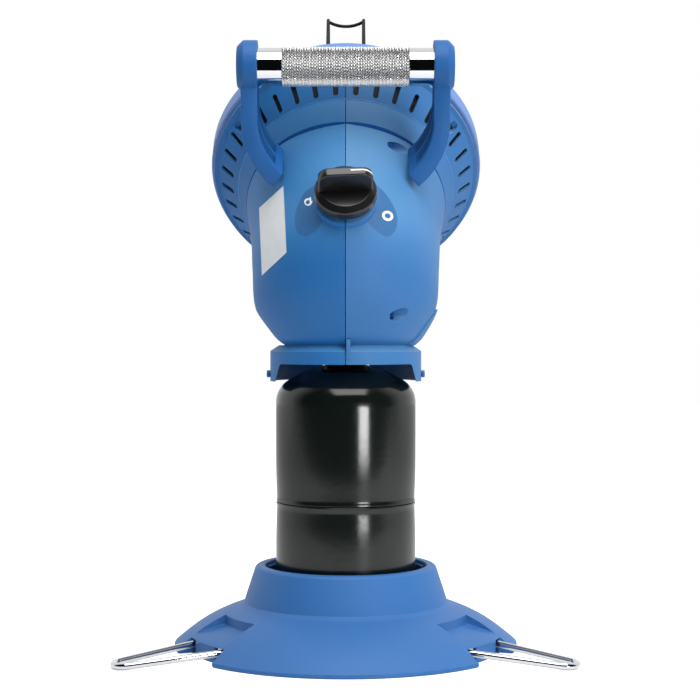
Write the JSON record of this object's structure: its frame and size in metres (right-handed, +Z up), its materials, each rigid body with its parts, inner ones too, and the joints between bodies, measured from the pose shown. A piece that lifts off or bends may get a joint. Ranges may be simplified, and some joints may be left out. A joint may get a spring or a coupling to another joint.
{
  "type": "portable propane heater",
  "caption": "Small radiant propane heater: a tilted dish head with a carrying handle, on a fuel cylinder that stands in a round base with fold-out wire legs.",
  "frame": {"origin": "on the ground, at the middle of the base's central foot, under the fuel cylinder's axis", "axes": "+Z up, +Y towards the side that the dish faces, +X to the right of the picture, which is taken from behind at -Y"},
  "size_m": [0.311, 0.2987, 0.4528],
  "materials": {
    "blue_plastic": "moulded blue plastic with a fine satin texture",
    "chromed_steel": "bright chrome plating, knurled on the handle bar",
    "zinc_steel": "plain zinc-plated steel",
    "black_enamel": "thick glossy enamel with a slight orange peel, very dark green to black",
    "black_wire": "black coated wire",
    "polished_steel": "polished reflector sheet",
    "burner_steel": "perforated heat-stained steel",
    "cast_aluminium": "die-cast, slightly rough",
    "brass": "turned brass",
    "black_rubber": "soft seal",
    "black_plastic": "satin black plastic with a white pointer",
    "copper_probe": "drawn copper tube",
    "white_plastic": "plain moulded plastic"
  },
  "bodies": {
    "base": {"base_shell": "blue_plastic", "leg_clips": "blue_plastic", "leg_clip_screws": "zinc_steel"},
    "leg_left": {"leg_left": "chromed_steel"},
    "leg_right": {"leg_right": "chromed_steel"},
    "leg_front": {"leg_front": "chromed_steel"},
    "tank": {"tank_lower_cup": "black_enamel", "tank_upper_cup": "black_enamel", "tank_valve": "brass", "tank_valve_core": "brass", "relief_valve": "brass"},
    "head": {"housing_left": "blue_plastic", "housing_right": "blue_plastic", "housing_screws": "zinc_steel", "handle_arm_left": "blue_plastic", "handle_arm_right": "blue_plastic", "handle_bar": "chromed_steel", "handle_screws": "zinc_steel", "bezel": "blue_plastic", "bezel_screws": "zinc_steel", "guard": "black_wire", "guard_clips": "zinc_steel", "reflector": "polished_steel", "heat_shield": "zinc_steel", "shield_rivets": "zinc_steel", "burner_plenum": "zinc_steel", "burner_screen": "burner_steel", "burner_ring": "zinc_steel", "mixing_tube": "zinc_steel", "injector": "brass", "valve_body": "cast_aluminium", "regulator_cap": "cast_aluminium", "inlet_connector": "brass", "inlet_seal": "black_rubber", "stem_nut": "brass", "thermocouple": "copper_probe", "tip_over_switch": "white_plastic"},
    "stem": {"valve_stem": "brass"},
    "knob": {"knob": "black_plastic"}
  },
  "joints": [
    {"name": "cylinder_lift", "type": "slide", "parent": "base", "child": "tank", "axis": [0, 0, 1], "range_m": [0, 0.06]},
    {"name": "head_unscrew", "type": "hinge", "parent": "tank", "child": "head", "pos_m": [0, 0, 0.207], "axis": [0, 0, 1], "range_deg": [0, 360]},
    {"name": "knob_turn", "type": "hinge", "parent": "head", "child": "stem", "pos_m": [0, -0.0645, 0.3134], "axis": [0, -0.8192, 0.5736], "range_deg": [0, 180]},
    {"name": "knob_push", "type": "slide", "parent": "stem", "child": "knob", "axis": [0, 0.8192, -0.5736], "range_m": [0, 0.0025], "stiffness_N_per_m": 1500, "springref_m": -0.001},
    {"name": "leg_left_fold", "type": "hinge", "parent": "base", "child": "leg_left", "pos_m": [-0.09007, -0.052, 0.0076], "axis": [0.5, -0.866, 0], "range_deg": [0, 170]},
    {"name": "leg_right_fold", "type": "hinge", "parent": "base", "child": "leg_right", "pos_m": [0.09007, -0.052, 0.0076], "axis": [0.5, 0.866, 0], "range_deg": [0, 170]},
    {"name": "leg_front_fold", "type": "hinge", "parent": "base", "child": "leg_front", "pos_m": [0, 0.104, 0.0076], "axis": [-1, 0, 0], "range_deg": [0, 170]}
  ]
}
